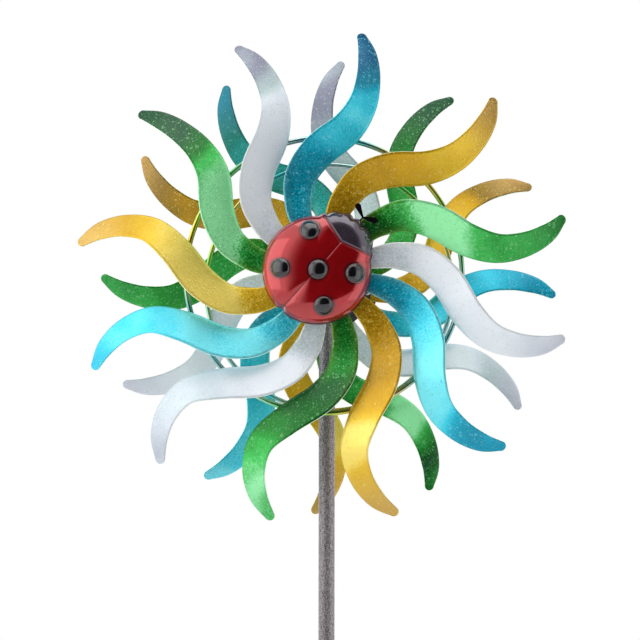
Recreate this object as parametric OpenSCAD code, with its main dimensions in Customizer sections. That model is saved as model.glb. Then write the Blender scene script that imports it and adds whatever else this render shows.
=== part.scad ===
// Twin-rotor garden wind spinner with a ladybug hub cover, on a three-piece pole.
// Frame: +Z up, rotor axis along Y, front (ladybug side) towards -Y,
// origin on the axis of the pole at soil level, where the ground prongs start.

/* [Stand] */
// Height of the rotor axis above the soil
hub_height = 1360; // [1200:10:1600]
// Outer diameter of the pole tubes
pole_d = 16; // [14:0.5:20]
// Wall of the pole tubes
pole_wall = 1.2; // [1:0.1:1.6]
// Length of each of the two lower pole tubes
pole_section = 450; // [300:10:550]
// Length of the ground prongs below the soil
prong_len = 180; // [120:5:250]
// Diameter of the ground prongs
prong_d = 8; // [6:0.5:10]
// Distance between neighbouring ground prongs
prong_pitch = 84; // [70:1:120]

/* [Rotors] */
// Distance from the pole's axis to each wire ring's plane
ring_offset = 51.75; // [50:0.25:60]
// Radius of each wire ring, at the centre of its wire
ring_r = 130; // [125:1:135]
// Diameter of the ring wire
wire_d = 5; // [3:0.5:5]
// Thickness of the blade sheet
blade_t = 1; // [0.8:0.1:1.2]
// Angle of the first front blade's tip, counter-clockwise from the right
front_phase = 19; // [0:0.1:30]
// Angle of the first rear blade's tip, counter-clockwise from the right
rear_phase = 26.2; // [0:0.1:30]
// Radius of the hub plates that the blades are riveted to
plate_r = 44; // [43:0.5:46]

/* [Ladybug] */
// Radius of the ladybug's round body
bug_r = 50.5; // [48:0.5:52]
// Height of the ladybug's dome above its rim
bug_h = 23; // [18:0.5:26]
// Direction of the ladybug's head, counter-clockwise from the right
bug_turn = 49; // [0:1:360]
// Place of the ladybug's centre beside and above the rotor axis
bug_at = [-6.2, 2.8];

/* [Hidden] */
$fn = 64;
BLADES = 12;
STEP = 360 / BLADES;

// How far each hand-set blade stands off its even place, in degrees counter-clockwise
FRONT_SET = [-4.5, -2, 3, 2.5, 0, 4, 3.5, 0.5, -0.5, -1.5, -2, -3];
REAR_SET = [-0.5, 0, 0, 0.5, -1.5, 1, -1, 0.5, -0.5, -0.5, 0.5, 1];

// How strongly the outer half of each hand-bent blade bows back past its own radius
FRONT_BOW = [0.95, 0.8, 0.75, 0.85, 0.65, 1.15, 1.2, 1.4, 1.4, 1.2, 1, 1];
REAR_BOW = [1, 1, 1, 1, 1, 1, 1, 1, 1, 1, 1, 0.85];

// Blade plan and twist, from the root on the hub plate to the tip. Each row is
// [along the radius through the tip, sideways, height above the hub plate's face,
//  width, pitch about the blade's own line].
BLADE_LINE = [
    [29, 19, 0.5, 15, 0],
    [46, 27.5, 0.5, 21, 0],
    [62, 33, 0.6, 25, 7],
    [87, 34, 1.4, 30, 22],
    [113, 21, 1.9, 33, 27],
    [138, -3, 1.7, 32, 27],
    [164, -18, -2.5, 28.5, 26],
    [192, -20, -9, 24.5, 24],
    [216, -14, -15, 19, 20],
    [232.5, -4, -19, 10, 16]
];
STATIONS_PER_SPAN = 2;
TIP_STEPS = 3;

// Hub layout, measured outwards from the pole's axis along the rotor axis
TUBE_HALF = 15;
HEAD_TUBE_R = 9;
NUT_T = 6.5;
NUT_AF = 13;
AXLE_R = 4;
SPACER_R = 5.5;
BEARING_W = 7;
BEARING_R = 11;
BALL_R = 1.985;
BALL_PITCH_R = 7.5;
BALLS = 7;
BALL_GAP = 0.035;
RACE_IN_R = 6.1;
RACE_OUT_R = 9.1;
SEAL_T = 0.5;
INNER_BEARING_AT = 30;
OUTER_BEARING_AT = 50;
BARREL_R = 14;
BARREL_FROM = 29;
PLATE_T = 2;
PLATE_FACE = 60;
WASHER_T = 1.2;
LOCK_NUT_T = 8;
AXLE_END = 68;
RIVET_R = 2;
RIVET_HEAD_R = 3;
RIVET_RING_R = 40;
RIVET_TURN = 32.3;

// Ladybug layout
BUG_RIM_AT = 64;
BUG_T = 0.8;
BUG_POWER = 2.4;
HEAD_R = 34;
HEAD_H = 19;
HEAD_AT = 27;
SPOT_R = 8.3;
SPOT_RISE = 3;
SPOTS = [[0, -3.4], [22.6, 27], [-21.5, 24.6], [19.7, -30], [-21.4, -28.4]];
SPOT_BALL_R = 13;
DOME_STEP = 6;
EYE_R = 2.6;
EYE_RING_R = 57;
EYE_TURN = 17;
EYE_LIFT = 8;
FEELER_R = 0.8;
FEELER_FROM = 60.9;
FEELER_FORK = 65;
FEELER_LIFT = 2.2;
FEELER_LEN = 14;
FEELER_LEAF_R = 2.8;
FEELER_LEAF_T = 1.6;
FEELER_TURN = 64;
STUD_R = 2;
STUD_RING_R = 25;
STUD_TURN = 47;
STUD_BELOW = 5;

// Strap across the rear hub
CROSS_BAR_TURN = 196.5;
CROSS_BAR_HALF = 51;
CROSS_BAR_W = 7.5;
CROSS_BAR_T = 2;
CROSS_BAR_AT = 61.2;
CROSS_BAR_EYE_R = 19;

// Stand layout
COUPLER_LEN = 80;
COUPLER_WALL = 1.5;
COUPLER_GAP = 0.1;
SCREW_R = 2.5;
SCREW_HEAD_R = 4.5;
SCREW_HEAD_T = 2.6;
STEP_T = 4;
STEP_W = 22;
SOCKET_LEN = 80;
SOCKET_WALL = 2;
SOCKET_GAP = 0.1;
PRONG_TIP = 22;
TENON_R = 3;
BASE_SCREW_Z = 60;

pole_r = pole_d / 2;
bore_r = pole_r - pole_wall;
coupler_r = bore_r - COUPLER_GAP;
prong_ring_r = prong_pitch / sqrt(2);
joint_1 = STEP_T + pole_section;
joint_2 = joint_1 + pole_section;

FRONT_COLOURS = ["limegreen", "goldenrod", "deepskyblue", "whitesmoke"];
REAR_COLOURS = ["goldenrod", "green", "silver", "teal"];

// ---- Frames: local X right, Y up, Z outwards from the pole along the rotor axis ----

module front_side() {
    translate([0, 0, hub_height]) rotate([90, 0, 0]) children();
}

module rear_side() {
    translate([0, 0, hub_height]) rotate([0, 0, 180]) rotate([90, 0, 0]) children();
}

module both_sides() {
    front_side() children();
    rear_side() children();
}

module tube(r_out, r_in, from, to) {
    translate([0, 0, from]) difference() {
        cylinder(r = r_out, h = to - from);
        translate([0, 0, -1]) cylinder(r = r_in, h = to - from + 2);
    }
}

module hex_nut(across, bore, from, thick) {
    translate([0, 0, from]) difference() {
        cylinder(d = across / cos(30), h = thick, $fn = 6);
        translate([0, 0, -1]) cylinder(r = bore, h = thick + 2);
    }
}

// ---- Blades ----

// One row of the table, its sideways place bowed further or less where it lies behind
function row(i, bow) = let (r = BLADE_LINE[max(0, min(SPANS, i))])
    [r[0], r[1] < 0 ? r[1] * bow : r[1], r[2], r[3], r[4]];

// Smooth curve through the rows, at span i and fraction t
function smooth(i, t, bow) = 0.5 * (
    2 * row(i, bow)
    + (row(i + 1, bow) - row(i - 1, bow)) * t
    + (2 * row(i - 1, bow) - 5 * row(i, bow) + 4 * row(i + 1, bow) - row(i + 2, bow)) * t * t
    + (3 * row(i, bow) - row(i - 1, bow) - 3 * row(i + 1, bow) + row(i + 2, bow)) * t * t * t
);
SPANS = len(BLADE_LINE) - 1;
TIP_DIR = [cos(38), sin(38), -0.12];

// All stations of a blade; the last ones narrow along a quarter circle to the rounded tip
function stations(bow) = let (tip = row(SPANS, bow)) concat(
    [for (i = [0 : SPANS - 1], j = [0 : STATIONS_PER_SPAN - 1]) smooth(i, j / STATIONS_PER_SPAN, bow)],
    [tip],
    [for (k = [1 : TIP_STEPS]) let (
        a = 90 * k / (TIP_STEPS + 0.35),
        run = tip[3] / 2 * sin(a)
    ) [tip[0] + TIP_DIR[0] * run, tip[1] + TIP_DIR[1] * run, tip[2] + TIP_DIR[2] * run,
       tip[3] * cos(a), tip[4]]]
);

// Direction of the blade's own line at station k
function along(line, k) = let (
    a = line[max(0, k - 1)],
    b = line[min(len(line) - 1, k + 1)],
    d = [b[0] - a[0], b[1] - a[1], b[2] - a[2]]
) d / norm(d);

// The four corners of the sheet at one station; hand is 1 or -1, the sense of the pitch
function corners(line, k, hand) = let (
    s = line[k],
    t = along(line, k),
    flat = [-t[1], t[0], 0] / norm([t[0], t[1]]),
    up = cross(t, flat),
    p = max(0, s[4]) * hand,
    across = flat * cos(p) + up * sin(p),
    thick = cross(t, across) * blade_t / 2,
    mid = [s[0], s[1], s[2]],
    half = across * s[3] / 2
) [mid - half - thick, mid + half - thick, mid + half + thick, mid - half + thick];

module blade(hand, bow) {
    line = stations(bow);
    points = [for (k = [0 : len(line) - 1], c = corners(line, k, hand)) c];
    last = 4 * (len(line) - 1);
    // Both faces of the sheet are split along the same diagonal, so it stays evenly thick
    triangles = [for (k = [0 : len(line) - 2], j = [0 : 3], h = [0, 1]) let (
        a = 4 * k + j,
        b = 4 * k + (j + 1) % 4
    ) j < 2 ? (h == 0 ? [a, b + 4, b] : [a, a + 4, b + 4])
            : (h == 0 ? [b, a, a + 4] : [b, a + 4, b + 4])];
    caps = [[0, 1, 2], [0, 2, 3], [last, last + 2, last + 1], [last, last + 3, last + 2]];
    difference() {
        translate([0, 0, PLATE_FACE]) polyhedron(points, concat(triangles, caps));
        rotate([0, 0, RIVET_TURN]) translate([RIVET_RING_R, 0, PLATE_FACE - 1])
            cylinder(r = RIVET_R, h = blade_t + 2);
    }
}

// Angle of blade k, from 0, in each rotor's own outward view
function front_angle(k) = front_phase + k * STEP + FRONT_SET[k];
function rear_angle(k) = 180 - rear_phase - k * STEP - REAR_SET[k];
FRONT_ANGLES = [for (k = [0 : BLADES - 1]) front_angle(k)];
REAR_ANGLES = [for (k = [0 : BLADES - 1]) rear_angle(k)];

module front_blade(k) {
    color(FRONT_COLOURS[(k - 1) % 4])
    front_side() rotate([0, 0, front_angle(k - 1)]) blade(1, FRONT_BOW[k - 1]);
}

module rear_blade(k) {
    color(REAR_COLOURS[(k - 1) % 4])
    rear_side() rotate([0, 0, rear_angle(k - 1)]) blade(-1, REAR_BOW[k - 1]);
}

// ---- Rotor hubs ----

module wire_ring() {
    translate([0, 0, ring_offset]) rotate_extrude($fn = 96) translate([ring_r, 0])
        circle(d = wire_d, $fn = 24);
}

module hub_plate(angles, stud_holes) {
    back = PLATE_FACE - PLATE_T;
    difference() {
        translate([0, 0, back]) cylinder(r = plate_r, h = PLATE_T);
        translate([0, 0, back - 1]) cylinder(r = BARREL_R, h = PLATE_T + 2);
        at_rivets(angles) translate([0, 0, back - 1]) cylinder(r = RIVET_R, h = PLATE_T + 2);
        if (stud_holes) {
            at_studs() translate([0, 0, back - 1]) cylinder(r = STUD_R + 0.1, h = PLATE_T + 2);
        }
    }
}

module hub_barrel(end) {
    inner_seat = INNER_BEARING_AT + BEARING_W;
    difference() {
        translate([0, 0, BARREL_FROM]) cylinder(r = BARREL_R, h = end - BARREL_FROM);
        translate([0, 0, BARREL_FROM - 1]) cylinder(r = BEARING_R, h = inner_seat - BARREL_FROM + 1);
        translate([0, 0, BARREL_FROM - 1]) cylinder(r = RACE_OUT_R, h = end - BARREL_FROM + 2);
        translate([0, 0, OUTER_BEARING_AT]) cylinder(r = BEARING_R, h = end - OUTER_BEARING_AT + 1);
    }
}

module at_bearings() {
    translate([0, 0, INNER_BEARING_AT]) children();
    translate([0, 0, OUTER_BEARING_AT]) children();
}

module groove() {
    translate([0, 0, BEARING_W / 2]) rotate_extrude() translate([BALL_PITCH_R, 0])
        circle(r = BALL_R + BALL_GAP, $fn = 32);
}

module inner_races() {
    at_bearings() difference() {
        tube(RACE_IN_R, AXLE_R, 0, BEARING_W);
        groove();
    }
}

module outer_races() {
    at_bearings() difference() {
        tube(BEARING_R, RACE_OUT_R, 0, BEARING_W);
        groove();
    }
}

module balls() {
    at_bearings() for (k = [0 : BALLS - 1])
        rotate([0, 0, k * 360 / BALLS]) translate([BALL_PITCH_R, 0, BEARING_W / 2])
            sphere(r = BALL_R, $fn = 24);
}

module seals() {
    at_bearings() for (z = [0.2, BEARING_W - 0.2 - SEAL_T])
        tube(RACE_OUT_R, RACE_IN_R + 0.1, z, z + SEAL_T);
}

// Rivets stand at the middle of each blade root
module at_rivets(angles) {
    for (a = angles)
        rotate([0, 0, a + RIVET_TURN]) translate([RIVET_RING_R, 0, 0]) children();
}

module rivets(angles) {
    back = PLATE_FACE - PLATE_T;
    face = PLATE_FACE + blade_t;
    at_rivets(angles) rotate_extrude() polygon([
        [0, back - 1], [RIVET_HEAD_R - 0.6, back - 1], [RIVET_HEAD_R, back - 0.5],
        [RIVET_HEAD_R, back], [RIVET_R, back], [RIVET_R, face], [RIVET_HEAD_R, face],
        [RIVET_HEAD_R * 0.8, face + 0.9], [0, face + 1.4]]);
}

// ---- Rotors ----

module front_hub_plate() {
    color("dimgray") front_side() hub_plate(FRONT_ANGLES, true);
}

module rear_hub_plate() {
    color("dimgray") rear_side() hub_plate(REAR_ANGLES, false);
}

module front_hub_barrel() {
    color("slategray") front_side() hub_barrel(PLATE_FACE);
}

module rear_hub_barrel() {
    color("slategray") rear_side() hub_barrel(CROSS_BAR_AT + CROSS_BAR_T);
}

module front_outer_races() {
    color("lightsteelblue") front_side() outer_races();
}

module rear_outer_races() {
    color("lightsteelblue") rear_side() outer_races();
}

module front_bearing_balls() {
    color("white") front_side() balls();
}

module rear_bearing_balls() {
    color("white") rear_side() balls();
}

module front_bearing_seals() {
    color("black") front_side() seals();
}

module rear_bearing_seals() {
    color("black") rear_side() seals();
}

module front_rivets() {
    color("gainsboro") front_side() rivets(FRONT_ANGLES);
}

module rear_rivets() {
    color("gainsboro") rear_side() rivets(REAR_ANGLES);
}

module front_ring() {
    color("mediumseagreen") front_side() wire_ring();
}

module rear_ring() {
    color("mediumseagreen") rear_side() wire_ring();
}

// Flat strap welded round the rear barrel, over the blade roots, its ends past the plate's rim
module rear_cross_bar() {
    color("darkslategray") rear_side() rotate([0, 0, CROSS_BAR_TURN])
        translate([0, 0, CROSS_BAR_AT]) difference() {
            union() {
                translate([-CROSS_BAR_HALF, -CROSS_BAR_W / 2, 0])
                    cube([2 * CROSS_BAR_HALF, CROSS_BAR_W, CROSS_BAR_T]);
                cylinder(r = CROSS_BAR_EYE_R, h = CROSS_BAR_T);
            }
            translate([0, 0, -1]) cylinder(r = BARREL_R, h = CROSS_BAR_T + 2);
        }
}

// ---- Ladybug ----

// Local frame of the ladybug: X towards its head, Z outwards from its rim
module ladybug_frame() {
    front_side() translate([bug_at[0], bug_at[1], BUG_RIM_AT]) rotate([0, 0, bug_turn])
        children();
}

// Height of a dome of radius r and height h at distance x from its middle
function dome(x, r, h) = h * pow(max(0, 1 - pow(x / r, BUG_POWER)), 1 / BUG_POWER);

module dome_solid(r, h) {
    rotate_extrude() polygon(concat(
        [for (a = [0 : DOME_STEP : 90]) [r * sin(a), dome(r * sin(a), r, h)]],
        [[0, 0]]));
}

module spot_domes() {
    for (s = SPOTS) {
        far = norm(s);
        lift = dome(far, bug_r, bug_h);
        slope = atan2(dome(far - 1, bug_r, bug_h) - dome(far + 1, bug_r, bug_h), 2);
        rotate([0, 0, atan2(s[1], s[0])]) translate([far, 0, lift]) rotate([0, slope, 0])
            intersection() {
                translate([0, 0, SPOT_RISE - SPOT_BALL_R]) sphere(r = SPOT_BALL_R, $fn = 48);
                translate([0, 0, -SPOT_RISE]) cylinder(r = SPOT_R, h = 3 * SPOT_RISE);
            }
    }
}

module eyes() {
    for (side = [-1, 1])
        rotate([0, 0, side * EYE_TURN]) translate([EYE_RING_R, 0, EYE_LIFT])
            sphere(r = EYE_R, $fn = 24);
}

module ladybug_shell() {
    color("crimson") ladybug_frame() difference() {
        union() {
            dome_solid(bug_r, bug_h);
            translate([HEAD_AT, 0, 0]) dome_solid(HEAD_R, HEAD_H);
            spot_domes();
            eyes();
        }
        translate([0, 0, -BUG_T]) dome_solid(bug_r - BUG_T, bug_h);
        translate([HEAD_AT, 0, -BUG_T]) dome_solid(HEAD_R - BUG_T, HEAD_H);
        translate([0, 0, -BUG_T - 1]) cylinder(r = bug_r - BUG_T, h = BUG_T + 1);
    }
}

// One feeler: a flat leaf that widens from its stem to a round end
module feeler() {
    translate([0, 0, -FEELER_LEAF_T / 2]) linear_extrude(FEELER_LEAF_T) union() {
        polygon([
            [0, -FEELER_R], [FEELER_LEN - FEELER_LEAF_R, -FEELER_LEAF_R],
            [FEELER_LEN - FEELER_LEAF_R, FEELER_LEAF_R], [0, FEELER_R]]);
        translate([FEELER_LEN - FEELER_LEAF_R, 0]) circle(r = FEELER_LEAF_R);
    }
}

// Both feelers fork from one stem at the head's edge
module ladybug_antennae() {
    color("black") ladybug_frame() translate([0, 0, FEELER_LIFT]) {
        translate([FEELER_FROM, 0, 0]) rotate([0, 90, 0])
            cylinder(r = FEELER_R, h = FEELER_FORK - FEELER_FROM);
        for (side = [-1, 1])
            translate([FEELER_FORK, 0, 0]) rotate([0, 0, side * FEELER_TURN]) feeler();
    }
}

STUD_PLACES = [for (k = [0 : 2])
    STUD_RING_R * [cos(k * 120 + STUD_TURN), sin(k * 120 + STUD_TURN)]];

module at_studs() {
    for (p = STUD_PLACES)
        translate([p[0], p[1], 0]) children();
}

// Studs from behind the hub plate up to the inside of the shell
module ladybug_studs() {
    foot = PLATE_FACE - PLATE_T - STUD_BELOW;
    color("lightgray") front_side() for (p = STUD_PLACES) {
        top = BUG_RIM_AT - BUG_T + dome(norm(p - bug_at) + STUD_R, bug_r - BUG_T, bug_h);
        translate([p[0], p[1], foot]) cylinder(r = STUD_R, h = top - foot);
    }
}

module ladybug_nuts() {
    color("silver") front_side() at_studs() {
        hex_nut(7, STUD_R, PLATE_FACE - PLATE_T - 3.2, 3.2);
        hex_nut(7, STUD_R, PLATE_FACE, 2.2);
    }
}

// ---- Axle ----

module axle() {
    color("silver") translate([0, 0, hub_height]) rotate([90, 0, 0])
        translate([0, 0, -AXLE_END]) cylinder(r = AXLE_R, h = 2 * AXLE_END);
}

module head_tube() {
    color("gray") translate([0, 0, hub_height]) rotate([90, 0, 0])
        tube(HEAD_TUBE_R, AXLE_R, -TUBE_HALF, TUBE_HALF);
}

module jam_nuts() {
    color("silver") both_sides() hex_nut(NUT_AF, AXLE_R, TUBE_HALF, NUT_T);
}

module axle_spacers() {
    color("gainsboro") both_sides() {
        tube(SPACER_R, AXLE_R, TUBE_HALF + NUT_T, INNER_BEARING_AT);
        tube(SPACER_R, AXLE_R, INNER_BEARING_AT + BEARING_W, OUTER_BEARING_AT);
    }
}

module bearing_inner_races() {
    color("lightsteelblue") both_sides() inner_races();
}

module axle_washers() {
    at = OUTER_BEARING_AT + BEARING_W;
    color("silver") both_sides() tube(RACE_IN_R, AXLE_R, at, at + WASHER_T);
}

module front_lock_nut() {
    at = OUTER_BEARING_AT + BEARING_W + WASHER_T;
    color("silver") front_side() difference() {
        union() {
            hex_nut(NUT_AF, AXLE_R, at, LOCK_NUT_T - 1.5);
            translate([0, 0, at]) cylinder(r = NUT_AF / 2 - 0.4, h = LOCK_NUT_T);
        }
        translate([0, 0, at - 1]) cylinder(r = AXLE_R, h = LOCK_NUT_T + 2);
    }
}

// Domed nut that closes the rear end of the axle
module rear_cap_nut() {
    at = OUTER_BEARING_AT + BEARING_W + WASHER_T;
    color("silver") rear_side() difference() {
        union() {
            translate([0, 0, at]) cylinder(d = NUT_AF / cos(30), h = LOCK_NUT_T, $fn = 6);
            translate([0, 0, at + LOCK_NUT_T]) intersection() {
                sphere(r = NUT_AF / 2 - 0.3);
                cylinder(r = NUT_AF, h = NUT_AF);
            }
        }
        translate([0, 0, at - 1]) cylinder(r = AXLE_R, h = AXLE_END - at + 1);
    }
}

// ---- Pole ----

module pole_tube(from, to) {
    tube(pole_r, bore_r, from, to);
}

// Radial screw holes at both ends of a tube, where the couplers are screwed
module screw_hole(z, depth_from, depth_to) {
    translate([0, 0, z]) rotate([-90, 0, 0]) translate([0, 0, depth_from])
        cylinder(r = SCREW_R, h = depth_to - depth_from);
}

module coupler_holes(joint) {
    for (side = [-1, 1])
        screw_hole(joint + side * COUPLER_LEN / 4, 0, pole_r + 1);
}

module pole_lower() {
    color("gray") difference() {
        pole_tube(STEP_T, joint_1);
        coupler_holes(joint_1);
        screw_hole(BASE_SCREW_Z, 0, pole_r + 1);
    }
}

module pole_middle() {
    color("gray") difference() {
        pole_tube(joint_1, joint_2);
        coupler_holes(joint_1);
        coupler_holes(joint_2);
    }
}

// The top end is cut to fit round the head tube that it is welded to
module pole_upper() {
    color("gray") difference() {
        pole_tube(joint_2, hub_height);
        coupler_holes(joint_2);
        translate([0, 0, hub_height]) rotate([90, 0, 0])
            cylinder(r = HEAD_TUBE_R, h = 4 * pole_r, center = true);
    }
}

module coupler(joint) {
    color("dimgray") difference() {
        tube(coupler_r, coupler_r - COUPLER_WALL, joint - COUPLER_LEN / 2, joint + COUPLER_LEN / 2);
        coupler_holes(joint);
    }
}

module coupler_lower() {
    coupler(joint_1);
}

module coupler_upper() {
    coupler(joint_2);
}

// Round-headed screw into the back of the pole, its tip at the given depth
module back_screw(z, head_from, tip) {
    translate([0, 0, z]) rotate([-90, 0, 0]) {
        translate([0, 0, tip]) cylinder(r = SCREW_R, h = head_from - tip);
        translate([0, 0, head_from]) rotate_extrude() polygon([
            [0, 0], [SCREW_HEAD_R, 0], [SCREW_HEAD_R, 1],
            [SCREW_HEAD_R - 1.2, SCREW_HEAD_T], [0, SCREW_HEAD_T]]);
    }
}

module coupler_screws() {
    color("silver") for (joint = [joint_1, joint_2], side = [-1, 1])
        back_screw(joint + side * COUPLER_LEN / 4, pole_r, bore_r - COUPLER_WALL - 1);
}

// ---- Ground stake ----

socket_r = pole_r + SOCKET_GAP;

module base_socket() {
    reach = prong_ring_r + STEP_W / 2;
    color("gray") difference() {
        union() {
            tube(socket_r + SOCKET_WALL, socket_r, STEP_T, STEP_T + SOCKET_LEN);
            for (turn = [45, 135])
                rotate([0, 0, turn]) translate([-reach, -STEP_W / 2, 0])
                    cube([2 * reach, STEP_W, STEP_T]);
        }
        at_prongs() translate([0, 0, -1]) cylinder(r = TENON_R, h = STEP_T + 2);
        screw_hole(BASE_SCREW_Z, 0, socket_r + SOCKET_WALL + 1);
    }
}

module at_prongs() {
    for (x = [-1, 1], y = [-1, 1])
        translate([x * prong_pitch / 2, y * prong_pitch / 2, 0]) children();
}

// Each prong's shoulder stands under the step, and its thinner tenon is welded into it
module base_prongs() {
    color("gray") at_prongs() rotate_extrude() polygon([
        [0, STEP_T], [TENON_R, STEP_T], [TENON_R, 0], [prong_d / 2, 0],
        [prong_d / 2, PRONG_TIP - prong_len], [0.8, -prong_len], [0, -prong_len]]);
}

module base_screw() {
    color("silver") back_screw(BASE_SCREW_Z, socket_r + SOCKET_WALL, bore_r - 1);
}

pole_lower();
pole_middle();
pole_upper();
coupler_lower();
coupler_upper();
coupler_screws();
base_socket();
base_prongs();
base_screw();
head_tube();
axle();
jam_nuts();
axle_spacers();
bearing_inner_races();
axle_washers();
front_lock_nut();
rear_cap_nut();
front_hub_plate();
front_hub_barrel();
front_outer_races();
front_bearing_balls();
front_bearing_seals();
front_rivets();
front_ring();
ladybug_shell();
ladybug_antennae();
ladybug_studs();
ladybug_nuts();
rear_hub_plate();
rear_hub_barrel();
rear_outer_races();
rear_bearing_balls();
rear_bearing_seals();
rear_rivets();
rear_cross_bar();
rear_ring();
front_blade(1);  // front_blade_01
front_blade(2);  // front_blade_02
front_blade(3);  // front_blade_03
front_blade(4);  // front_blade_04
front_blade(5);  // front_blade_05
front_blade(6);  // front_blade_06
front_blade(7);  // front_blade_07
front_blade(8);  // front_blade_08
front_blade(9);  // front_blade_09
front_blade(10);  // front_blade_10
front_blade(11);  // front_blade_11
front_blade(12);  // front_blade_12
rear_blade(1);  // rear_blade_01
rear_blade(2);  // rear_blade_02
rear_blade(3);  // rear_blade_03
rear_blade(4);  // rear_blade_04
rear_blade(5);  // rear_blade_05
rear_blade(6);  // rear_blade_06
rear_blade(7);  // rear_blade_07
rear_blade(8);  // rear_blade_08
rear_blade(9);  // rear_blade_09
rear_blade(10);  // rear_blade_10
rear_blade(11);  // rear_blade_11
rear_blade(12);  // rear_blade_12
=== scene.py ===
"""Looks of the twin-rotor ladybug wind spinner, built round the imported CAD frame."""

import math

import bpy
import numpy as np
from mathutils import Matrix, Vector


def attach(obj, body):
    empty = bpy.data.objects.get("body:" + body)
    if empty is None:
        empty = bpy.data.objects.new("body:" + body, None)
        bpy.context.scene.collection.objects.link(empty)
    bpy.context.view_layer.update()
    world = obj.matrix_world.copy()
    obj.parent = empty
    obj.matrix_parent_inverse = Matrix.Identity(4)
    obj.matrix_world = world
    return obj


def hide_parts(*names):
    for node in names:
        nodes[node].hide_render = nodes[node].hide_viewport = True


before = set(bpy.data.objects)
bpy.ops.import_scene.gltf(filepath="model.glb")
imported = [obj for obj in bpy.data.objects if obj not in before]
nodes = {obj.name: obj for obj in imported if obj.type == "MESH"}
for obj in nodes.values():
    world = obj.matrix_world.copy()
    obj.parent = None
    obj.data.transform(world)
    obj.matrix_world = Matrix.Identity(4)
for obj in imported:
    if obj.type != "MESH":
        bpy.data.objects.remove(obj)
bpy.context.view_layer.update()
MM = 0.001

# ---- Layout, in millimetres, the same numbers as the CAD source ----

HUB_Z = 1360.0
RING_OFFSET, RING_R, WIRE_R = 51.75, 130.0, 2.5
BLADE_T = 1.0
PLATE_FACE = 60.0
FRONT_PHASE, REAR_PHASE = 19.0, 26.2
BLADES, STEP = 12, 30.0
# Each blade's own turn off its even place, in degrees, and how far its outer part bows
FRONT_SET = [-4.5, -2, 3, 2.5, 0, 4, 3.5, 0.5, -0.5, -1.5, -2, -3]
REAR_SET = [-0.5, 0, 0, 0.5, -1.5, 1, -1, 0.5, -0.5, -0.5, 0.5, 1]
FRONT_BOW = [0.95, 0.8, 0.75, 0.85, 0.65, 1.15, 1.2, 1.4, 1.4, 1.2, 1, 1]
REAR_BOW = [1, 1, 1, 1, 1, 1, 1, 1, 1, 1, 1, 0.85]
# Distance out, offset, height, width and pitch of the blade at each station
BLADE_LINE = np.array([
    [29, 19, 0.5, 15, 0],
    [46, 27.5, 0.5, 21, 0],
    [62, 33, 0.6, 25, 7],
    [87, 34, 1.4, 30, 22],
    [113, 21, 1.9, 33, 27],
    [138, -3, 1.7, 32, 27],
    [164, -18, -2.5, 28.5, 26],
    [192, -20, -9, 24.5, 24],
    [216, -14, -15, 19, 20],
    [232.5, -4, -19, 10, 16],
], float)
TIP_TURN = math.radians(38)
TIP_DIR = np.array([math.cos(TIP_TURN), math.sin(TIP_TURN), -0.12])
BUG_AT, BUG_TURN, BUG_RIM_AT = (-6.2, 2.8), 49.0, 64.0
BUG_R, BUG_H, BUG_T, BUG_POWER = 50.5, 23.0, 0.8, 2.4
# The spots come to the CAD's places once the shell's top is shifted by APEX_SHIFT
SPOTS = [(0.5, -1), (23, 28), (-21, 25.5), (20, -29), (-21, -27)]
HEAD_R, HEAD_AT = 34.0, 27.0
# Distances in mm that the shell's paint follows, in the order that ladybug() stores them
BUG_DISTANCES = ("spot", "head", "seam", "rim")

# ---- Camera ----

CAMERA_AT = Vector((0.0457, -0.897, 1.2532))
CAMERA_YAW, CAMERA_PITCH = math.radians(0.74), math.radians(1.65)
camera_data = bpy.data.cameras.new("camera")
camera_data.sensor_width = 36
camera_data.lens = 50.6
camera_data.shift_x = -0.1006
camera_data.shift_y = 0.0664
camera_data.clip_start = 0.01
camera_data.clip_end = 50
camera = bpy.data.objects.new("camera", camera_data)
bpy.context.scene.collection.objects.link(camera)
look = Vector((
    math.sin(CAMERA_YAW) * math.cos(CAMERA_PITCH),
    math.cos(CAMERA_YAW) * math.cos(CAMERA_PITCH),
    math.sin(CAMERA_PITCH),
))
camera.location = CAMERA_AT
camera.rotation_mode = "QUATERNION"
camera.rotation_quaternion = look.to_track_quat("-Z", "Y")
bpy.context.scene.camera = camera
bpy.context.scene.view_settings.view_transform = "Standard"


# ---- Small helpers ----

def rgb(r, g, b):
    """An sRGB colour from 0 to 255, as the linear colour that shaders take."""
    def linear(c):
        c /= 255
        return c / 12.92 if c <= 0.04045 else ((c + 0.055) / 1.055) ** 2.4
    return (linear(r), linear(g), linear(b), 1.0)


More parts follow.
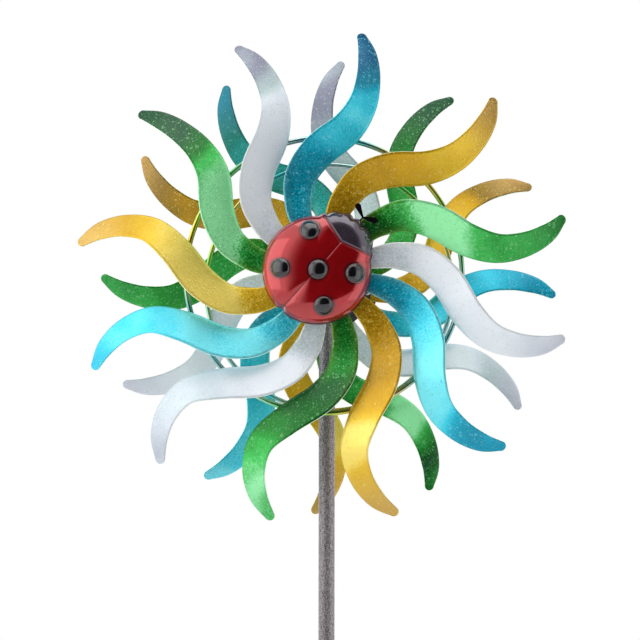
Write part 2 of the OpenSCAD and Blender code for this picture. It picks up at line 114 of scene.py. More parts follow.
class Graph:
    """Short calls to add and join the nodes of a tree."""

    def __init__(self, tree):
        self.tree = tree

    def add(self, kind, **values):
        node = self.tree.nodes.new(kind)
        for key, value in values.items():
            setattr(node, key, value)
        return node

    def join(self, output, target):
        self.tree.links.new(output, target)

    def put(self, target, value):
        """Sets a socket to a number or colour, or links it to an output."""
        if isinstance(value, bpy.types.NodeSocket):
            self.join(value, target)
        else:
            target.default_value = value

    def attribute(self, name, output="Fac"):
        return self.add("ShaderNodeAttribute", attribute_name=name).outputs[output]

    def place(self):
        return self.add("ShaderNodeTexCoord").outputs["Object"]

    def noise(self, scale, detail=2.0, at=None, stretch=None):
        node = self.add("ShaderNodeTexNoise")
        node.inputs["Scale"].default_value = scale
        node.inputs["Detail"].default_value = detail
        where = at or self.place()
        if stretch:
            mapping = self.add("ShaderNodeMapping")
            mapping.inputs["Scale"].default_value = stretch
            self.join(where, mapping.inputs["Vector"])
            where = mapping.outputs["Vector"]
        self.join(where, node.inputs["Vector"])
        return node.outputs["Fac"]

    def cells(self, scale, output="Distance", at=None):
        node = self.add("ShaderNodeTexVoronoi")
        node.inputs["Scale"].default_value = scale
        self.join(at or self.place(), node.inputs["Vector"])
        return node.outputs[output]

    def math(self, operation, a, b):
        node = self.add("ShaderNodeMath", operation=operation)
        self.put(node.inputs[0], a)
        self.put(node.inputs[1], b)
        return node.outputs[0]

    def fit(self, value, low, high, to_low=0.0, to_high=1.0, smooth=True):
        """Maps low..high to to_low..to_high, held flat outside."""
        kind = "SMOOTHSTEP" if smooth else "LINEAR"
        node = self.add("ShaderNodeMapRange", interpolation_type=kind)
        for key, item in (("Value", value), ("From Min", low), ("From Max", high),
                          ("To Min", to_low), ("To Max", to_high)):
            self.put(node.inputs[key], item)
        return node.outputs["Result"]

    def ramp(self, value, stops):
        node = self.add("ShaderNodeValToRGB")
        elements = node.color_ramp.elements
        while len(elements) > 1:
            elements.remove(elements[-1])
        for i, (at, colour) in enumerate(stops):
            element = elements[0] if i == 0 else elements.new(at)
            element.position = at
            element.color = colour
        self.put(node.inputs["Fac"], value)
        return node.outputs["Color"]

    def mix(self, share, a, b):
        """A colour from a to b; the numbers are the Mix node's factor and colour sockets."""
        node = self.add("ShaderNodeMix", data_type="RGBA")
        self.put(node.inputs[0], share)
        self.put(node.inputs[6], a)
        self.put(node.inputs[7], b)
        return node.outputs[2]

    def bump(self, height, strength, distance):
        node = self.add("ShaderNodeBump")
        node.inputs["Strength"].default_value = strength
        node.inputs["Distance"].default_value = distance
        self.join(height, node.inputs["Height"])
        return node.outputs["Normal"]

    def vector(self, operation, *values):
        node = self.add("ShaderNodeVectorMath", operation=operation)
        for socket, value in zip(node.inputs, values):
            self.put(socket, value)
        return node


class Paint(Graph):
    """A material's graph, ending in its Principled shader."""

    def __init__(self, name):
        self.material = bpy.data.materials.new(name)
        self.material.use_nodes = True
        super().__init__(self.material.node_tree)

    def finish(self, **sockets):
        shader = self.tree.nodes["Principled BSDF"]
        for key, value in sockets.items():
            self.put(shader.inputs[key.replace("_", " ")], value)
        return self.material


def mesh_object(name, points, faces, smooth=True):
    mesh = bpy.data.meshes.new(name)
    mesh.from_pydata([tuple(p) for p in points], [], faces)
    mesh.validate()
    mesh.update()
    if smooth:
        mesh.shade_smooth()
    item = bpy.data.objects.new(name, mesh)
    bpy.context.scene.collection.objects.link(item)
    return item


def store(item, name, values, kind="FLOAT"):
    """Writes one number, or one colour, per point for the materials to read."""
    layer = item.data.attributes.new(name, kind, "POINT")
    key = "color" if kind == "FLOAT_COLOR" else "value"
    layer.data.foreach_set(key, np.asarray(values, np.float32).ravel())


def front_place(points):
    """Takes points in the front rotor's outward view (right, up, outwards), in mm, to metres."""
    p = np.asarray(points, float)
    return np.stack([p[:, 0], -p[:, 2], HUB_Z + p[:, 1]], 1) * MM


def rear_place(points):
    """The same for the rear rotor, which looks the other way."""
    p = np.asarray(points, float)
    return np.stack([-p[:, 0], p[:, 2], HUB_Z + p[:, 1]], 1) * MM


def turned(points, degrees):
    """Points turned about the rotor's axis."""
    a = math.radians(degrees)
    p = np.array(points, float)
    x, y = p[:, 0].copy(), p[:, 1].copy()
    p[:, 0], p[:, 1] = x * math.cos(a) - y * math.sin(a), x * math.sin(a) + y * math.cos(a)
    return p


def ease(x, low=0.0, high=1.0):
    """0 below low, 1 above high, and a smooth step between them."""
    t = np.clip((x - low) / (high - low), 0, 1)
    return t * t * (3 - 2 * t)


# ---- Materials ----

def shade(colour, factor):
    return tuple(min(1.0, c * factor) for c in colour[:3]) + (1.0,)


def plain_metal(name, colour, roughness, grain=900.0, metallic=1.0, spread=0.12):
    """Bare or painted metal, its tone spread both ways and its roughness broken by fine grain."""
    g = Paint(name)
    fine = g.noise(grain, 3)
    wide = g.noise(60, 2)
    tone = g.mix(g.fit(wide, 0.3, 0.7), shade(colour, 1 - spread), shade(colour, 1 + spread))
    rough = g.fit(fine, 0.3, 0.7, roughness * 0.8, roughness * 1.25)
    return g.finish(Base_Color=tone, Roughness=rough, Metallic=metallic,
                    Normal=g.bump(fine, 0.12, 0.0002))


def hammered_paint():
    """Brown-grey hammer paint: paler pebbles with dark seams, drawn out a little down the tube."""
    g = Paint("hammered_paint")
    where = g.place()
    drift = g.noise(900, 3, at=where, stretch=(1, 1, 0.3))
    pebble = g.cells(1400, at=where)
    seam = g.math("ADD", g.fit(pebble, 0.2, 0.9), g.fit(drift, 0.3, 0.7, -0.25, 0.35))
    wide = g.noise(45, 3, at=where, stretch=(1, 1, 0.15))
    seam = g.math("ADD", seam, g.fit(wide, 0.3, 0.7, -0.15, 0.15))
    tone = g.ramp(seam, [(0.0, rgb(172, 166, 168)), (0.35, rgb(134, 127, 130)),
                         (0.7, rgb(104, 98, 100)), (1.0, rgb(70, 64, 66))])
    height = g.math("SUBTRACT", 1.0, seam)
    return g.finish(Base_Color=tone, Metallic=0.35, Roughness=g.fit(seam, 0.0, 1.0, 0.32, 0.5),
                    Normal=g.bump(height, 0.35, 0.0003), Coat_Weight=0.3, Coat_Roughness=0.15)


# Each candy colour: its colours from dark to pale, which the painted reflection and shade pick
# from, the painted darker tint towards the tip and its share, and the colour of droplets
CANDY = {
    "green": ([rgb(22, 72, 42), rgb(6, 98, 22), rgb(16, 138, 38), rgb(62, 192, 86),
               rgb(158, 252, 180)],
              rgb(60, 104, 78), 0.2, rgb(150, 226, 160)),
    "gold": ([rgb(122, 98, 8), rgb(184, 138, 4), rgb(212, 164, 10), rgb(232, 192, 44),
              rgb(250, 224, 108)],
             rgb(194, 156, 92), 0.75, rgb(248, 230, 130)),
    "cyan": ([rgb(12, 92, 132), rgb(0, 134, 162), rgb(6, 172, 202), rgb(56, 212, 236),
              rgb(124, 240, 252)],
             rgb(24, 112, 158), 0.2, rgb(140, 230, 244)),
    "white": ([rgb(116, 118, 138), rgb(156, 174, 178), rgb(190, 210, 210), rgb(220, 230, 238),
               rgb(240, 246, 252)],
              rgb(172, 172, 194), 0.4, rgb(226, 234, 236)),
    "teal": ([rgb(10, 92, 74), rgb(6, 116, 100), rgb(14, 144, 140), rgb(60, 188, 188),
              rgb(120, 226, 218)],
             rgb(24, 112, 152), 0.6, rgb(120, 214, 206)),
}
TONE_AT = (0.0, 0.25, 0.5, 0.75, 1.0)


def candy(name, lacquer, tip, tip_share, drop, drop_amount, sparkle, metallic):
    """Translucent candy lacquer over bright sheet, sprayed so that droplets stand in it."""
    g = Paint("candy_" + name)
    reach, tone, warm = g.attribute("reach"), g.attribute("tone"), g.attribute("warm")
    where = g.place()
    wave = g.noise(45, 3, at=where)
    mottle = g.noise(520, 3, at=where)
    tone = g.math("ADD", tone, g.fit(wave, 0.25, 0.75, -0.07, 0.07, smooth=False))
    # the spray is coarser near the root
    coarse = g.fit(reach, 0.25, 0.6, 0.24, 0.08)
    speckle = g.fit(mottle, 0.25, 0.75, -0.7, 1.3, smooth=False)
    tone = g.math("ADD", tone, g.math("MULTIPLY", coarse, speckle))
    # painted reflection and shade: the blade's tone picks its colour from dark to pale
    colour = g.ramp(tone, list(zip(TONE_AT, lacquer)))
    # painted shade: the colour turns to the darker tip tint towards the tip
    colour = g.mix(g.fit(reach, 0.74, 0.98, 0.0, tip_share), colour, tip)
    # near the root the neighbours' overspray shows along the sides
    colour = g.mix(g.math("MULTIPLY", warm, 0.35), colour, rgb(206, 196, 70))

    # droplets of several sizes, each cell with its own radius
    def droplets(scale, soft, largest, share):
        cell = g.cells(scale, at=where)
        pick = g.add("ShaderNodeSeparateColor")
        g.join(g.cells(scale, "Color", at=where), pick.inputs[0])
        radius = g.fit(pick.outputs[0], 1 - share, 1.0, 0.0, largest, smooth=False)
        inside = g.math("SUBTRACT", radius, cell)
        return g.fit(inside, 0.0, soft), inside

    big, big_in = droplets(210, 0.06, 0.42, drop_amount * 0.5)
    mid, _ = droplets(430, 0.12, 0.42, drop_amount)
    tiny, _ = droplets(820, 0.15, 0.55, sparkle)
    ring = g.math("MULTIPLY", big, g.fit(big_in, 0.07, 0.18, 1.0, 0.35))
    dots = g.math("MAXIMUM", g.math("MULTIPLY", ring, 0.75), g.math("MULTIPLY", mid, 0.7))
    dots = g.math("MAXIMUM", dots, g.math("MULTIPLY", tiny, 0.45))
    colour = g.mix(g.math("MULTIPLY", dots, 0.6), colour, drop)
    height = g.math("ADD", big, g.math("MULTIPLY", mid, 0.7))
    height = g.math("ADD", height, g.math("MULTIPLY", tiny, 0.35))
    height = g.math("ADD", height, g.math("MULTIPLY", mottle, 0.45))
    rough = g.fit(mottle, 0.3, 0.7, 0.3, 0.42)
    return g.finish(Base_Color=colour, Metallic=metallic, Roughness=rough,
                    Normal=g.bump(height, 0.6, 0.0005), Specular_IOR_Level=0.25,
                    Coat_Weight=0.25, Coat_Roughness=0.12)


def cut_edge(name, colour):
    """The sheet's cut edge, where bare metal shows pale through thin lacquer."""
    g = Paint("edge_" + name)
    grain = g.noise(1400, 2)
    tone = g.mix(g.fit(grain, 0.3, 0.7, 0.5, 0.9), colour, rgb(240, 250, 236))
    return g.finish(Base_Color=tone, Roughness=0.5, Normal=g.bump(grain, 0.1, 0.0001))


# Share of cells with droplets, share with the finest ones, and how metallic the lacquer is
CANDY_FINISH = (0.6, 0.8, 0.5)
SILVER_FINISH = (0.4, 0.8, 0.25)
CANDY_MATERIALS = {
    name: candy(name, *colours, *(SILVER_FINISH if name == "white" else CANDY_FINISH))
    for name, colours in CANDY.items()
}
EDGE_MATERIALS = {name: cut_edge(name, drop) for name, (_, _, _, drop) in CANDY.items()}


def ring_material():
    """Candy colours over a bright wire, running into each other round the ring."""
    g = Paint("ring_candy")
    fine = g.noise(900, 2)
    flow = g.noise(35, 2)
    tint = g.attribute("tint", "Color")
    colour = g.mix(g.fit(flow, 0.45, 0.75, 0.0, 0.35), tint, rgb(60, 50, 20))
    return g.finish(Base_Color=colour, Metallic=0.85, Roughness=0.16,
                    Normal=g.bump(fine, 0.08, 0.0002), Coat_Weight=0.6, Coat_Roughness=0.05)


def ladybug_material():
    """Red, grey and black enamel, placed by distances in mm from the pressing's features, with
    painted shade in the seams and at the rim.
    """
    g = Paint("ladybug_paint")
    spot, head, seam, rim = (g.attribute(name) for name in BUG_DISTANCES)
    where = g.place()
    fine = g.noise(700, 3, at=where)
    cloud = g.noise(45, 3, at=where)
    ragged = g.fit(cloud, 0.3, 0.7, -0.6, 0.6)
    red = g.mix(g.fit(cloud, 0.35, 0.7), rgb(164, 4, 14), rgb(182, 8, 22))
    # painted shade: the red darkens within about a millimetre of the pressed seams and the groove
    # before the head
    red = g.mix(g.fit(seam, 0.0, 1.2, 0.75, 0.0), red, rgb(90, 4, 14))
    halo = g.fit(g.math("ADD", spot, ragged), 0.0, 3.6, 0.9, 0.0)
    red = g.mix(halo, red, rgb(40, 14, 22))
    grey = g.mix(g.fit(cloud, 0.35, 0.7), rgb(62, 54, 66), rgb(78, 66, 82))
    over_head = g.math("ADD", head, g.math("MULTIPLY", ragged, 0.4))
    body = g.mix(g.fit(over_head, -0.6, 0.6), red, grey)
    # painted shade: the pressed rim is painted dark where the shell turns under; it is also dull
    edge = g.fit(rim, 0.5, 1.7, 1.0, 0.0)
    body = g.mix(g.math("MULTIPLY", edge, 0.9), body, rgb(44, 6, 16))
    black = g.mix(g.fit(cloud, 0.3, 0.7), rgb(12, 12, 16), rgb(24, 24, 30))
    colour = g.mix(g.fit(spot, -0.5, 0.3, 1.0, 0.0), body, black)
    # the gloss gives way at the rim and in the seams
    gloss = g.math("MULTIPLY", g.math("SUBTRACT", 1.0, edge), g.fit(seam, 0.15, 0.9, 0.3, 1.0))
    rough = g.math("ADD", g.fit(fine, 0.3, 0.7, 0.12, 0.18), g.math("MULTIPLY", edge, 0.4))
    return g.finish(Base_Color=colour, Metallic=g.math("MULTIPLY", gloss, 0.5), Roughness=rough,
                    Normal=g.bump(fine, 0.02, 0.0003), Specular_IOR_Level=0.4,
                    Coat_Weight=gloss, Coat_Roughness=0.03, Coat_IOR=1.55)


STEEL = plain_metal("plain_steel", rgb(168, 170, 174), 0.34)
ZINC = plain_metal("zinc_hardware", rgb(196, 200, 206), 0.26, spread=0.2)
BEARING = plain_metal("bearing_steel", rgb(206, 208, 214), 0.12, spread=0.05)
RIVET = plain_metal("rivet_aluminium", rgb(214, 216, 220), 0.3)
SEAL = plain_metal("bearing_seal", rgb(26, 26, 28), 0.55, metallic=0.0, spread=0.3)
HUB_PAINT = plain_metal("dark_hub_paint", rgb(62, 62, 70), 0.4,
                        grain=500, metallic=0.5, spread=0.25)
BLACK = plain_metal("ladybug_black", rgb(26, 20, 26), 0.22, grain=400, metallic=0.6, spread=0.3)
POLE = hammered_paint()

CAD_LOOKS = {
    POLE: ["pole_lower", "pole_middle", "pole_upper", "base_socket", "base_prongs", "head_tube"],
    ZINC: ["coupler_lower", "coupler_upper", "coupler_screws", "base_screw", "jam_nuts",
           "axle_washers", "front_lock_nut", "rear_cap_nut", "ladybug_nuts", "ladybug_studs"],
    STEEL: ["axle", "axle_spacers"],
    BEARING: ["bearing_inner_races", "front_outer_races", "rear_outer_races",
              "front_bearing_balls", "rear_bearing_balls"],
    SEAL: ["front_bearing_seals", "rear_bearing_seals"],
    RIVET: ["front_rivets", "rear_rivets"],
    HUB_PAINT: ["front_hub_plate", "front_hub_barrel", "rear_hub_plate", "rear_hub_barrel",
                "rear_cross_bar"],
    BLACK: ["ladybug_antennae"],
}
for look_material, names in CAD_LOOKS.items():
    for node_name in names:
        slots = nodes[node_name].data.materials
        slots.clear()
        slots.append(look_material)

# ---- Blades ----

SPANS = len(BLADE_LINE) - 1
FINE_STEPS = 6
TIP_STEPS = 9
TIP_BLUNT = 0.35
ACROSS = 12
# How hollow the sheet is across, in mm, the station where that starts and how many more it takes,
# the width below which it lessens, and the share of it that lies below the middle plane
CAMBER, CAMBER_FROM, CAMBER_OVER = 0.2, 10, 12
CAMBER_WIDTH, CAMBER_LEVEL = 20.0, 0.35
# Distances from the axis where the reach is 1 and where the neighbours' overspray ends
TIP_AT, WARM_TO = 238.0, 120.0
# How far the painted reflection and shade tones lean from one side of the blade to its middle, and
# the largest tone
TONE_SKEW, TONE_MAX = 7.0, 9


def blade_row(i, bow):
    """A row of the blade's line, with the part below the line bowed by its own amount."""
    row = BLADE_LINE[max(0, min(SPANS, i))].copy()
    if row[1] < 0:
        row[1] *= bow
    return row


def blade_curve(i, t, bow):
    """Smooth curve through the rows, at span i and fraction t."""
    a, b, c, d = (blade_row(i + k, bow) for k in (-1, 0, 1, 2))
    return 0.5 * (2 * b + (c - a) * t + (2 * a - 5 * b + 4 * c - d) * t * t
                  + (3 * b - a - 3 * c + d) * t ** 3)


def blade_stations(bow):
    """Places along the blade (x, y, z, width, pitch), closed by a rounded tip."""
    rows = [blade_curve(i, j / FINE_STEPS, bow) for i in range(SPANS) for j in range(FINE_STEPS)]
    tip = blade_row(SPANS, bow)
    rows.append(tip)
    for k in range(1, TIP_STEPS + 1):
        a = math.radians(90 * k / (TIP_STEPS + TIP_BLUNT))
        run = tip[3] / 2 * math.sin(a)
        rows.append(np.array([*(tip[:3] + TIP_DIR * run), tip[3] * math.cos(a), tip[4]]))
    return rows


def tone_at(tones, far):
    """The painted reflection and shade tone at a distance from the axis, eased from one given
    value to the next.
    """
    place = np.interp(far, TONE_REACH, range(len(TONE_REACH)))
    k = min(int(place), len(tones) - 2)
    share = ease(place - k)
    return (tones[k] * (1 - share) + tones[k + 1] * share) / TONE_MAX


def blade_mesh(name, hand, bow, degrees, place, tones):
    """A closed blade of sheet; hand is 1 or -1 for the way it is pitched."""
    line = blade_stations(bow)
    count = len(line)
    loop = 2 * (ACROSS + 1)
    points, reach, warm, tone = [], [], [], []
    for k, s in enumerate(line):
        run = line[min(count - 1, k + 1)][:3] - line[max(0, k - 1)][:3]
        run /= np.linalg.norm(run)
        flat = np.array([-run[1], run[0], 0]) / math.hypot(run[0], run[1])
        up = np.cross(run, flat)
        pitch = math.radians(max(0.0, s[4])) * hand
        side = flat * math.cos(pitch) + up * math.sin(pitch)
        normal = np.cross(run, side)
        along = min(1.0, max(0.0, (k - CAMBER_FROM) / CAMBER_OVER))
        rise = CAMBER * along * min(1.0, s[3] / CAMBER_WIDTH)
        far = math.hypot(s[0], s[1])
        for face in (1, -1):
            for j in range(ACROSS + 1):
                u = -1 + 2 * j / ACROSS
                if face < 0:
                    u = -u
                lift = face * BLADE_T / 2 + rise * (u * u - CAMBER_LEVEL)
                points.append(s[:3] + side * (s[3] / 2 * u) + normal * lift)
                reach.append(far / TIP_AT)
                warm.append(abs(u) ** 3 * max(0.0, 1 - far / WARM_TO))
                # the painted reflection and shade tone, leaning across the blade by TONE_SKEW
                tone.append(tone_at(tones, far + TONE_SKEW * u * hand))
    faces, cut = [], []
    for k in range(count - 1):
        for j in range(loop):
            n = (j + 1) % loop
            faces.append((loop * k + j, loop * k + n, loop * (k + 1) + n, loop * (k + 1) + j))
            cut.append(j in (ACROSS, loop - 1))
    for k, flip in ((0, False), (count - 1, True)):
        ring = [loop * k + j for j in range(loop)]
        for j in range(ACROSS):
            quad = (ring[j], ring[j + 1], ring[loop - 2 - j], ring[loop - 1 - j])
            faces.append(quad if flip else quad[::-1])
            cut.append(True)
    points = np.array(points)
    points[:, 2] += PLATE_FACE
    item = mesh_object(name, place(turned(points, degrees)), [f[::-1] for f in faces])
    store(item, "reach", reach)
    store(item, "warm", warm)
    store(item, "tone", tone)
    for polygon, is_cut in zip(item.data.polygons, cut):
        polygon.material_index = 1 if is_cut else 0
        polygon.use_smooth = not is_cut
    return item


FRONT_LOOKS = ["green", "gold", "cyan", "white"] * 3
REAR_LOOKS = ["gold", "green", "white", "teal", "gold", "green", "white", "cyan",
              "gold", "green", "white", "cyan"]

# Painted reflection and shade along each blade, standing in for the light its bends and twist
# catch and for the shade on the rear blades, from 0 dark to 9 pale, at these distances from the
# rotor's axis
TONE_REACH = [70, 90, 110, 130, 150, 170, 190, 210, 228]
FRONT_PAINTED_SHADE = [
    [2, 5, 9, 9, 6, 5, 5, 5, 4], [2, 3, 3, 4, 6, 6, 6, 5, 4], [4, 3, 3, 6, 7, 6, 2, 0, 0],
    [7, 9, 9, 9, 9, 8, 3, 0, 1], [4, 9, 9, 9, 7, 2, 0, 0, 0], [5, 9, 9, 9, 8, 6, 5, 5, 7],
    [6, 9, 8, 9, 7, 7, 7, 7, 6], [5, 9, 9, 8, 6, 6, 6, 6, 6], [3, 3, 1, 2, 3, 5, 7, 9, 7],
    [2, 2, 2, 4, 9, 9, 6, 6, 7], [3, 5, 7, 9, 9, 8, 4, 3, 4], [6, 8, 9, 9, 9, 9, 8, 7, 8],
]
REAR_PAINTED_SHADE = [
    [2, 3, 4, 5, 5, 4, 0, 0, 0], [3, 4, 5, 4, 3, 2, 1, 0, 0], [4, 4, 4, 3, 2, 1, 0, 0, 2],
    [4, 4, 4, 4, 4, 4, 2, 2, 3], [2, 2, 2, 2, 2, 2, 1, 0, 1], [3, 4, 5, 5, 4, 4, 5, 5, 6],
    [5, 6, 7, 7, 8, 8, 8, 8, 8], [3, 5, 6, 6, 7, 7, 7, 7, 9], [3, 3, 4, 5, 8, 8, 5, 5, 8],
    [3, 3, 4, 6, 9, 9, 5, 1, 4], [5, 5, 6, 7, 8, 8, 5, 6, 8], [3, 5, 6, 5, 4, 5, 4, 3, 4],
]


def front_angle(k):
    return FRONT_PHASE + k * STEP + FRONT_SET[k]


def rear_angle(k):
    return 180 - REAR_PHASE - k * STEP - REAR_SET[k]


for k in range(BLADES):
    for end, colour, place, hand, angle, bow, tones in (
        ("front", FRONT_LOOKS[k], front_place, 1, front_angle(k), FRONT_BOW[k], FRONT_PAINTED_SHADE[k]),
        ("rear", REAR_LOOKS[k], rear_place, -1, rear_angle(k), REAR_BOW[k], REAR_PAINTED_SHADE[k]),
    ):
        blade = f"{end}_blade_{k + 1:02d}"
        sheet = blade_mesh(f"{blade}_candy", hand, bow, angle, place, tones)
        sheet.data.materials.append(CANDY_MATERIALS[colour])
        sheet.data.materials.append(EDGE_MATERIALS[colour])
        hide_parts(blade)
        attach(sheet, f"{end}_rotor")

# ---- Wire rings ----

RING_STEPS, WIRE_STEPS = 288, 20


def wire_ring(end, place, tints, phase, direction):
    """A ring of wire whose tint passes from one blade's colour to the next one's."""
    points, colours, faces = [], [], []
    for i in range(RING_STEPS):
        a = 2 * math.pi * i / RING_STEPS
        turn = ((math.degrees(a) - phase) * direction / STEP) % BLADES
        k = int(turn)
        share = ease(turn - k)
        one, two = (np.array(tints[pick % len(tints)]) for pick in (k, k + 1))
        tint = one * (1 - share) + two * share
        for j in range(WIRE_STEPS):
            b = 2 * math.pi * j / WIRE_STEPS
            r = RING_R + WIRE_R * math.cos(b)
            points.append((r * math.cos(a), r * math.sin(a), RING_OFFSET + WIRE_R * math.sin(b)))
            colours.append(tint)
            n, m = (i + 1) % RING_STEPS, (j + 1) % WIRE_STEPS
            here, there = i * WIRE_STEPS, n * WIRE_STEPS
            faces.append((here + j, there + j, there + m, here + m))
    item = mesh_object(f"{end}_ring_candy", place(points), faces)
    store(item, "tint", colours, "FLOAT_COLOR")
    item.data.materials.append(RING_MATERIAL)
    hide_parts(f"{end}_ring")
    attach(item, f"{end}_rotor")


RING_MATERIAL = ring_material()
GREEN_TINT, GOLD_TINT = rgb(70, 190, 90), rgb(225, 190, 50)
CYAN_TINT, SILVER_TINT = rgb(40, 175, 180), rgb(175, 200, 195)
wire_ring("front", front_place, [GREEN_TINT, GOLD_TINT, CYAN_TINT, SILVER_TINT], FRONT_PHASE, 1)
wire_ring("rear", rear_place, [GOLD_TINT, GREEN_TINT, SILVER_TINT, CYAN_TINT],
          180 - REAR_PHASE, -1)

# ---- Ladybug ----

# Where the head's boundary crosses its axis, and how it leans outwards from there
HEAD_IN, HEAD_LEAN = 33.5, 0.3
HEAD_EDGE_FROM, HEAD_EDGE_TO = 33, 38
PLATE_RISE = 1.5
GROOVE_DEEP, GROOVE_AT, GROOVE_HALF = 0.9, 0.4, 0.9
SEAM_DEEP, SEAM_FROM, SEAM_TO, TAIL_SEAM_FROM = 2.2, 9, 34, 5
APEX_SHIFT = (-0.5, -2.4)
SPOT_R, SPOT_RISE, SPOT_POWER = 8.3, 3.3, 0.58
RIM_STEPS = 420
# Rings of points from the middle outwards, drawn closer together towards the rim
WIDE_RINGS, CLOSE_RINGS, CLOSE_FROM = 84, 26, 0.86
SCALLOPS_PER_TURN = 31.2
SCALLOP_DEEP, SCALLOP_IN = 2.4, 1.8
NOTCH_DEEP, NOTCH_HALF = 2.6, 3.6
# Eyes: distance from the middle in mm, and angle from the head's axis
EYES_AT = [(57, 17), (57, -17)]
EYE_R, EYE_RISE = 2.8, 2.0
FAR_FROM_SEAM = 9.0
# How far the inner face's edge lies below the outer one's
RIM_LIP = 0.02


def dome(r):
    """Height of the plain shell at a distance from its middle."""
    share = np.minimum(r, BUG_R) / BUG_R
    return BUG_H * np.maximum(0, 1 - share ** BUG_POWER) ** (1 / BUG_POWER)


def ladybug_outline(theta):
    """Smooth radius of the ladybug's edge and its small steps, theta in degrees from its head."""
    t = np.radians(theta)
    head = HEAD_AT * np.cos(t) + np.sqrt(np.maximum(0, HEAD_R ** 2 - (HEAD_AT * np.sin(t)) ** 2))
    r = np.where(np.abs(theta) < 90, np.maximum(BUG_R, head), BUG_R)
    on_head = 1 - ease(np.abs(theta), HEAD_EDGE_FROM, HEAD_EDGE_TO)
    wave = np.abs(np.cos(t * SCALLOPS_PER_TURN / 2)) ** 0.8
    scallop = on_head * (SCALLOP_DEEP * wave - SCALLOP_IN)
    tail = np.abs(np.abs(theta) - 180)
    notch = -NOTCH_DEEP * np.exp(-(tail / NOTCH_HALF) ** 2)
    return r, scallop + notch


def ladybug_height(x, y, r, edge):
    """Height of the shell above its rim, and the distances that its paint follows."""
    reach = r / edge
    body = dome(reach * BUG_R)
    # signed distance over the boundary of head and wing cases, positive on the head
    head = x - (HEAD_IN + HEAD_LEAN * np.abs(y))
    # the plate behind the head stands up in a low step and falls flatter to its edge
    plate = PLATE_RISE * ease(head, -0.5, 1.3) * (1 - ease(reach, 0.8, 1.0))
    groove_head = GROOVE_DEEP * np.exp(-((head + GROOVE_AT) / GROOVE_HALF) ** 2)
    # the wing cases fall towards their seam, which opens wider behind the middle spot
    behind = ease(-x, 4, 30)
    before = ease(x, SEAM_FROM, 14) * (1 - ease(x, 32, 35))
    groove_seam = (behind * SEAM_DEEP * np.exp(-np.abs(y) / (1.2 + 3.6 * behind))
                   + before * GROOVE_DEEP * np.exp(-np.abs(y) / 1.6))
    spot = np.full_like(x, 99.0)
    rise = np.zeros_like(x)
    for sx, sy in SPOTS:
        d = np.hypot(x - sx, y - sy)
        spot = np.minimum(spot, d - SPOT_R)
        up = SPOT_RISE * np.maximum(0, 1 - (d / SPOT_R) ** 2) ** SPOT_POWER
        rise = np.maximum(rise, up)
    # the grooves stop at the spots and at the rim
    groove = (groove_head * ease(reach, 0, 0.4) + groove_seam) * ease(spot, 0.0, 1.6)
    height = body + plate - groove * (1 - ease(reach, 0.94, 1.0))
    eyes = np.zeros_like(x)
    for out, angle in EYES_AT:
        eye_x, eye_y = out * math.cos(math.radians(angle)), out * math.sin(math.radians(angle))
        d = np.hypot(x - eye_x, y - eye_y)
        eyes = np.maximum(eyes, EYE_RISE * np.sqrt(np.maximum(0, 1 - (d / EYE_R) ** 2)))
    height += rise * (1 - ease(reach, 0.985, 1.0)) + eyes * (1 - ease(reach, 0.97, 1.0))
    height = np.maximum(height, 0)
    has_seam = (x < -TAIL_SEAM_FROM) | ((x > SEAM_FROM) & (x < SEAM_TO))
    seam_distance = np.where(has_seam, np.abs(y), FAR_FROM_SEAM)
    seam_distance = np.minimum(seam_distance, np.abs(head + GROOVE_AT))
    return height, spot, head, seam_distance


def ladybug():
    """The shell as one closed pressing: its outer face, its inner face and the rim between."""
    angles = np.linspace(-180, 180, RIM_STEPS, endpoint=False)
    edge, steps_out = ladybug_outline(angles)
    close = np.sin(np.linspace(0, math.pi / 2, CLOSE_RINGS + 1))[1:]
    shares = np.concatenate([np.linspace(0, CLOSE_FROM, WIDE_RINGS),
                             CLOSE_FROM + (1 - CLOSE_FROM) * close])
    points, values = [], []
    for layer in (0, 1):
        for share in shares[1:]:
            r = edge * share
            x, y = r * np.cos(np.radians(angles)), r * np.sin(np.radians(angles))
            z, spot, head, seam = ladybug_height(x, y, r, edge)
            wider = 1 + steps_out / edge * ease(share, CLOSE_FROM, 1.0)
            x, y = x * wider, y * wider
            x = x + APEX_SHIFT[0] * (1 - share ** 2)
            y = y + APEX_SHIFT[1] * (1 - share ** 2)
            if layer:
                inset = np.minimum(1.0, (edge - BUG_T) / edge)
                x, y, z = x * inset, y * inset, np.maximum(z - BUG_T, -RIM_LIP)
            points.append(np.stack([x, y, z], 1))
            values.append(np.stack([spot, head, seam, (1 - share) * edge], 1))
    z, spot, head, seam = ladybug_height(*(np.array([v], float) for v in (0, 0, 0, BUG_R)))
    top = [np.array([[*APEX_SHIFT, z[0]]]), np.array([[*APEX_SHIFT, z[0] - BUG_T]])]
    middle_value = np.array([[spot[0], head[0], seam[0], BUG_R]])
    rings = len(shares) - 1
    all_points = np.concatenate(points + top)
    all_values = np.concatenate(values + [middle_value, middle_value])
    n = RIM_STEPS
    faces = []
    for layer in (0, 1):
        base = layer * rings * n
        centre = 2 * rings * n + layer
        for i in range(n):
            j = (i + 1) % n
            face = (centre, base + i, base + j)
            faces.append(face if layer == 0 else face[::-1])
            for k in range(rings - 1):
                near, far = base + k * n, base + (k + 1) * n
                quad = (near + i, far + i, far + j, near + j)
                faces.append(quad if layer == 0 else quad[::-1])
    last, under = (rings - 1) * n, (2 * rings - 1) * n
    for i in range(n):
        j = (i + 1) % n
        faces.append((last + i, under + i, under + j, last + j))
    local = turned(all_points, BUG_TURN)
    local[:, 0] += BUG_AT[0]
    local[:, 1] += BUG_AT[1]
    local[:, 2] += BUG_RIM_AT
    item = mesh_object("ladybug_cover", front_place(local), faces)
    for column, name in enumerate(BUG_DISTANCES):
        store(item, name, all_values[:, column])
    item.data.materials.append(ladybug_material())
    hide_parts("ladybug_shell")
    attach(item, "front_rotor")


ladybug()

# ---- Floor, light and surroundings ----

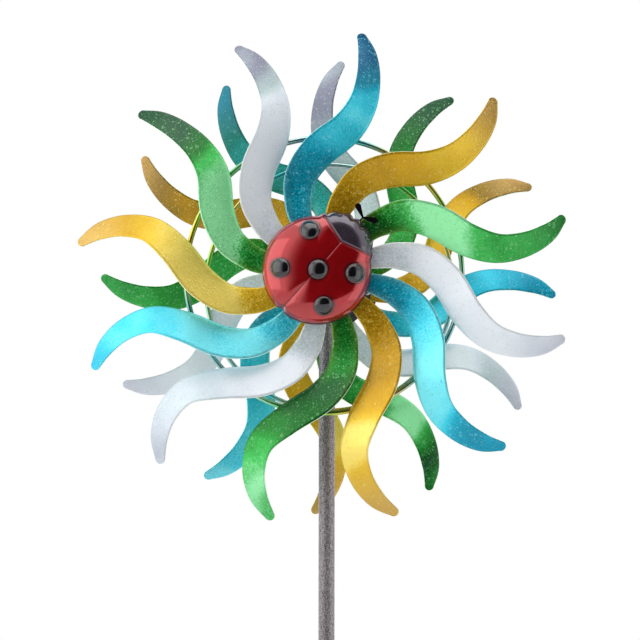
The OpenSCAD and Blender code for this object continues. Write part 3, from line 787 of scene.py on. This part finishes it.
FLOOR_Z, FLOOR_HALF = -0.181, 3
corners = [(x * FLOOR_HALF, y * FLOOR_HALF, FLOOR_Z)
           for x, y in ((-1, -1), (1, -1), (1, 1), (-1, 1))]
floor = mesh_object("floor", corners, [(0, 1, 2, 3)], smooth=False)
pale = Paint("floor_pale")
pale_tone = pale.mix(pale.fit(pale.noise(3), 0.3, 0.7), rgb(238, 238, 238), rgb(244, 244, 244))
floor.data.materials.append(pale.finish(Base_Color=pale_tone, Roughness=0.7))

# The room: pale walls, a little brighter overhead and on the left, and one dark end in front of
# the hub. The camera itself sees plain white.
DARK_END = (0.24, -0.97, 0.0)
ROOM_STRENGTH = 1.5
world = bpy.data.worlds.new("studio")
world.use_nodes = True
bpy.context.scene.world = world
world.node_tree.nodes.clear()
room = Graph(world.node_tree)
seen = room.add("ShaderNodeBackground")
seen.inputs["Color"].default_value = (1, 1, 1, 1)
seen.inputs["Strength"].default_value = 1.0
lit = room.add("ShaderNodeBackground")
lit.inputs["Strength"].default_value = ROOM_STRENGTH
way = room.add("ShaderNodeTexCoord").outputs["Generated"]
parts = room.add("ShaderNodeSeparateXYZ")
room.join(way, parts.inputs[0])
flat_way = room.vector("NORMALIZE", room.vector("MULTIPLY", way, (1, 1, 0.5)).outputs[0])
towards = room.vector("DOT_PRODUCT", flat_way.outputs[0], DARK_END).outputs["Value"]
dark_end = room.fit(towards, 0.88, 0.64, 0.03, 1.0)
overhead = room.fit(parts.outputs["Z"], -0.6, 0.7, 0.75, 0.85)
left = room.fit(parts.outputs["X"], -0.8, 0.8, 1.08, 0.8)
walls = room.math("MULTIPLY", overhead, left)
room.join(room.math("MULTIPLY", dark_end, walls), lit.inputs["Color"])
choose = room.add("ShaderNodeMixShader")
room.join(room.add("ShaderNodeLightPath").outputs["Is Camera Ray"], choose.inputs[0])
room.join(lit.outputs[0], choose.inputs[1])
room.join(seen.outputs[0], choose.inputs[2])
room.join(choose.outputs[0], room.add("ShaderNodeOutputWorld").inputs["Surface"])


def softbox(name, at, width, height, power):
    """A rectangle of light, facing the hub."""
    data = bpy.data.lights.new(name, "AREA")
    data.shape = "RECTANGLE"
    data.size, data.size_y = width, height
    data.energy = power
    lamp = bpy.data.objects.new(name, data)
    lamp.location = at
    lamp.rotation_mode = "QUATERNION"
    lamp.rotation_quaternion = (HUB - Vector(at)).to_track_quat("-Z", "Y")
    bpy.context.scene.collection.objects.link(lamp)


HUB = Vector((0, 0, HUB_Z * MM))
softbox("key_left", (-1.9, -0.9, 1.8), 1.8, 2.4, 12)
softbox("fill_right", (1.9, -0.8, 1.0), 1.4, 2.0, 6)
softbox("top", (0.1, -0.3, 2.9), 1.6, 1.2, 8)
